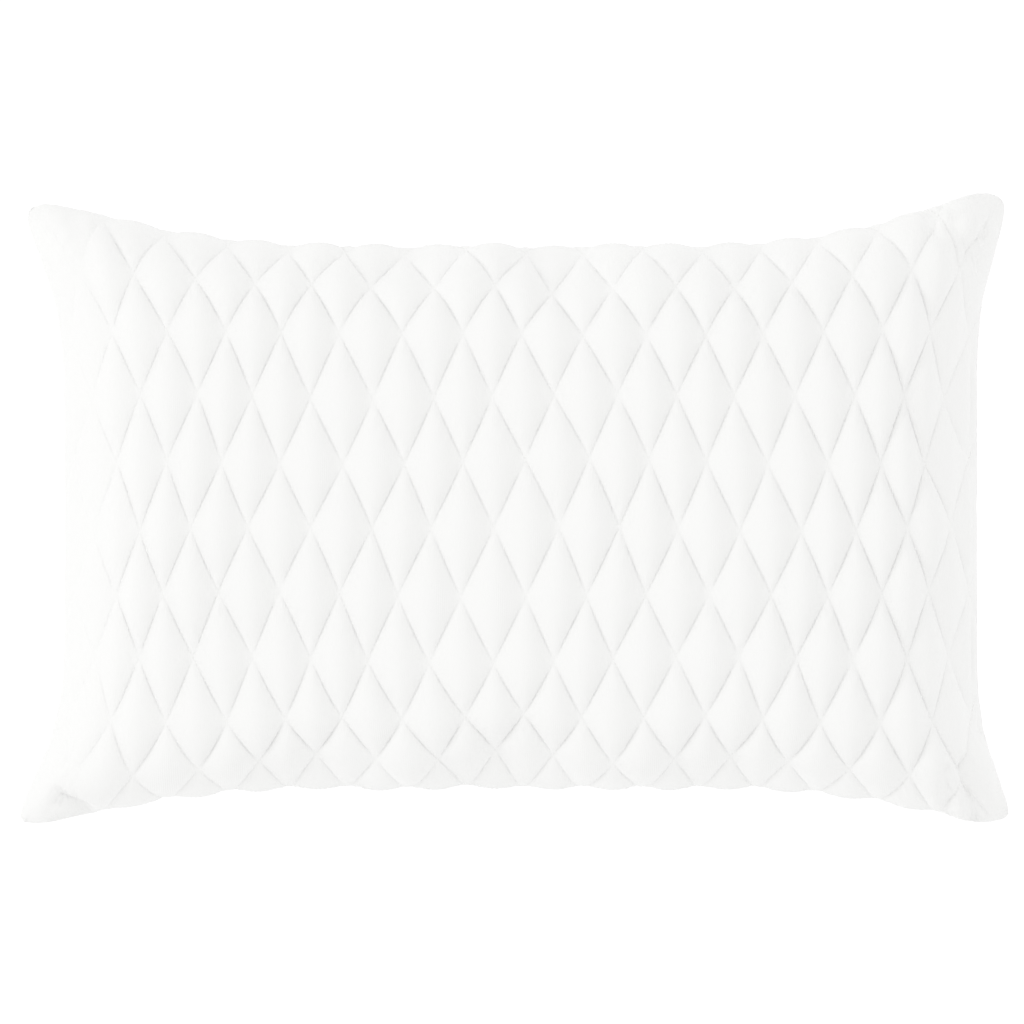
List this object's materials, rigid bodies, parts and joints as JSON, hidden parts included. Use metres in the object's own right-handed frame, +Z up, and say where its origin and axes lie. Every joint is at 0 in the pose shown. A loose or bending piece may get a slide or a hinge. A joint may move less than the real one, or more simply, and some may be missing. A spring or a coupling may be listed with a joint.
{
  "type": "bed pillow",
  "caption": "Rectangular bed pillow with a diamond-quilted cover, a concealed zip in one short side and a separate foam-filled inner pillow.",
  "frame": {"origin": "under the middle of the pillow, on the surface it rests on", "axes": "+X along the pillow towards the side with the zip, +Y across it, +Z up from the back panel to the front panel"},
  "size_m": [0.585, 0.372, 0.14],
  "materials": {
    "knit_fabric": "matte",
    "wadding": "matte",
    "lining": "matte",
    "liner_cotton": "matte",
    "foam": "matte",
    "thread": "satin",
    "zip_tape": "matte",
    "zip_coil": "satin",
    "zip_metal": "gloss",
    "label_satin": "satin"
  },
  "bodies": {
    "pillow": {"front_face_fabric": "knit_fabric", "back_face_fabric": "knit_fabric", "front_wadding": "wadding", "back_wadding": "wadding", "front_lining": "lining", "back_lining": "lining", "liner_front": "liner_cotton", "liner_back": "liner_cotton", "liner_seam": "thread", "foam_filling": "foam", "edge_seam": "thread", "zip_tape_front": "zip_tape", "zip_tape_back": "zip_tape", "zip_coil_front": "zip_coil", "zip_coil_back": "zip_coil", "zip_stitching_front": "thread", "zip_stitching_back": "thread", "zip_top_stops": "zip_metal", "zip_bottom_stop": "zip_metal", "care_label": "label_satin"},
    "slider": {"zip_slider": "zip_metal"},
    "pull_tab": {"zip_pull": "zip_metal"}
  },
  "joints": [
    {"name": "zip_slide", "type": "slide", "parent": "pillow", "child": "slider", "axis": [0, -1, 0], "range_m": [0, 0.1872], "deforming": ["zip_coil_front", "zip_coil_back"]},
    {"name": "pull_hinge", "type": "hinge", "parent": "slider", "child": "pull_tab", "pos_m": [0.2708, 0.095, 0.062], "axis": [0, 0, 1], "range_deg": [0, 180]}
  ]
}
